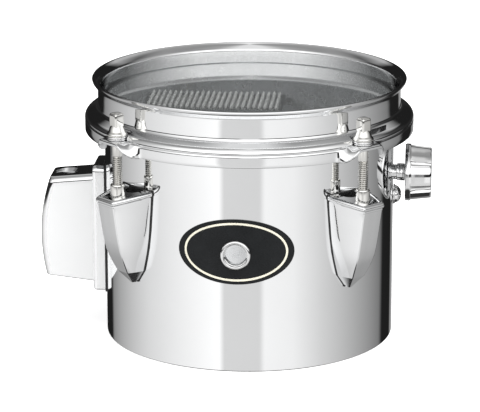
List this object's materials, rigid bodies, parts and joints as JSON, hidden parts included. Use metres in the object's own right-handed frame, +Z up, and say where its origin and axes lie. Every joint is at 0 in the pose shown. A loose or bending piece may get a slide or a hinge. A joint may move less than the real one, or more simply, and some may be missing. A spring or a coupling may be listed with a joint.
{
  "type": "tom tom drum",
  "caption": "Small open-bottomed steel drum with a flared hoop, clear head, square-headed tension rods, side rod clamp, oval badge and knob-raised snare wires.",
  "frame": {"origin": "on the drum's axis, in the plane of the shell's bottom edge", "axes": "+Z up along the drum's axis, -Y through the badge, +X through the snare adjuster knob, -X through the rod bracket"},
  "size_m": [0.206, 0.1726, 0.1378],
  "materials": {
    "chromed_steel": "polished chrome over steel",
    "chromed_hoop": "polished chrome over pressed steel",
    "chrome_casting": "polished chrome over zinc casting",
    "chrome_trim": "polished chrome",
    "plated_steel": "bright zinc plating",
    "plated_rod": "bright nickel plating",
    "snare_steel": "drawn steel wire",
    "aluminium_hoop": "satin",
    "clear_film": "clear glossy polyester film",
    "gasket_rubber": "matte black",
    "badge_enamel": "gloss black with a raised cream border",
    "brass_nut": "satin"
  },
  "bodies": {
    "drum_body": {"shell": "chromed_steel", "badge": "badge_enamel", "vent_grommet": "chrome_trim", "lug_front_left": "chrome_casting", "lug_front_right": "chrome_casting", "lug_rear_left": "chrome_casting", "lug_rear_right": "chrome_casting", "lug_gaskets": "gasket_rubber", "swivel_nuts": "plated_steel", "lug_screws": "plated_steel", "lug_washers": "plated_steel", "bracket_casting": "chrome_casting", "bracket_gasket": "gasket_rubber", "bracket_backplate": "plated_steel", "bracket_screws": "plated_steel", "adjuster_bushing": "chrome_trim", "bushing_nut": "plated_steel", "dome_screw": "chrome_trim", "dome_screw_nut": "plated_steel", "pivot_bracket": "plated_steel", "pivot_pin": "plated_steel"},
    "hoop_and_head": {"counter_hoop": "chromed_hoop", "drumhead_film": "clear_film", "drumhead_collar": "clear_film", "flesh_hoop": "aluminium_hoop", "rod_washers": "plated_steel"},
    "adjuster": {"adjuster_knob": "chrome_casting", "adjuster_spindle": "plated_steel"},
    "nut_block": {"lifter_nut": "brass_nut"},
    "snare_lever": {"lifter_arm": "plated_steel", "snare_carrier": "plated_steel", "carrier_rivets": "plated_steel", "snare_wires": "snare_steel"},
    "eyebolt": {"clamp_eyebolt": "plated_steel"},
    "wing_nut": {"clamp_wing_nut": "chrome_casting"},
    "rod_front_left_body": {"rod_front_left": "plated_rod"},
    "rod_front_right_body": {"rod_front_right": "plated_rod"},
    "rod_rear_left_body": {"rod_rear_left": "plated_rod"},
    "rod_rear_right_body": {"rod_rear_right": "plated_rod"}
  },
  "joints": [
    {"name": "hoop_lift", "type": "slide", "parent": "drum_body", "child": "hoop_and_head", "axis": [0, 0, 1], "range_m": [0, 0.004]},
    {"name": "rod_front_left_turn", "type": "hinge", "parent": "hoop_and_head", "child": "rod_front_left_body", "pos_m": [-0.06223, -0.06223, 0.12], "axis": [0, 0, 1], "range_deg": [0, 1365]},
    {"name": "rod_front_right_turn", "type": "hinge", "parent": "hoop_and_head", "child": "rod_front_right_body", "pos_m": [0.06223, -0.06223, 0.12], "axis": [0, 0, 1], "range_deg": [0, 1365]},
    {"name": "rod_rear_left_turn", "type": "hinge", "parent": "hoop_and_head", "child": "rod_rear_left_body", "pos_m": [-0.06223, 0.06223, 0.12], "axis": [0, 0, 1], "range_deg": [0, 1365]},
    {"name": "rod_rear_right_turn", "type": "hinge", "parent": "hoop_and_head", "child": "rod_rear_right_body", "pos_m": [0.06223, 0.06223, 0.12], "axis": [0, 0, 1], "range_deg": [0, 1365]},
    {"name": "knob_turn", "type": "hinge", "parent": "drum_body", "child": "adjuster", "pos_m": [0.088, 0, 0.087], "axis": [1, 0, 0], "range_deg": [0, 350]},
    {"name": "nut_slide", "type": "slide", "parent": "drum_body", "child": "nut_block", "axis": [-1, 0, 0], "range_m": [0, 0.0008]},
    {"name": "snare_lever_swing", "type": "hinge", "parent": "drum_body", "child": "snare_lever", "pos_m": [0.063, 0, 0.077], "axis": [0, -1, 0], "range_deg": [0, 4.6]},
    {"name": "wing_nut_turn", "type": "hinge", "parent": "drum_body", "child": "wing_nut", "pos_m": [-0.0977, 0.018, 0.055], "axis": [0, -1, 0], "range_deg": [0, 350]},
    {"name": "eyebolt_slide", "type": "slide", "parent": "drum_body", "child": "eyebolt", "axis": [0, 1, 0], "range_m": [0, 0.001]}
  ],
  "couplings": [
    {"joint": "rod_front_left_turn", "follows": "hoop_lift", "rad_per_m": 5937.1},
    {"joint": "rod_front_right_turn", "follows": "hoop_lift", "rad_per_m": 5937.1},
    {"joint": "rod_rear_left_turn", "follows": "hoop_lift", "rad_per_m": 5937.1},
    {"joint": "rod_rear_right_turn", "follows": "hoop_lift", "rad_per_m": 5937.1},
    {"joint": "nut_slide", "follows": "knob_turn", "m_per_rad": 0.00012732},
    {"joint": "snare_lever_swing", "follows": "knob_turn", "ratio": 0.012732},
    {"joint": "eyebolt_slide", "follows": "wing_nut_turn", "m_per_rad": 0.00015915}
  ]
}
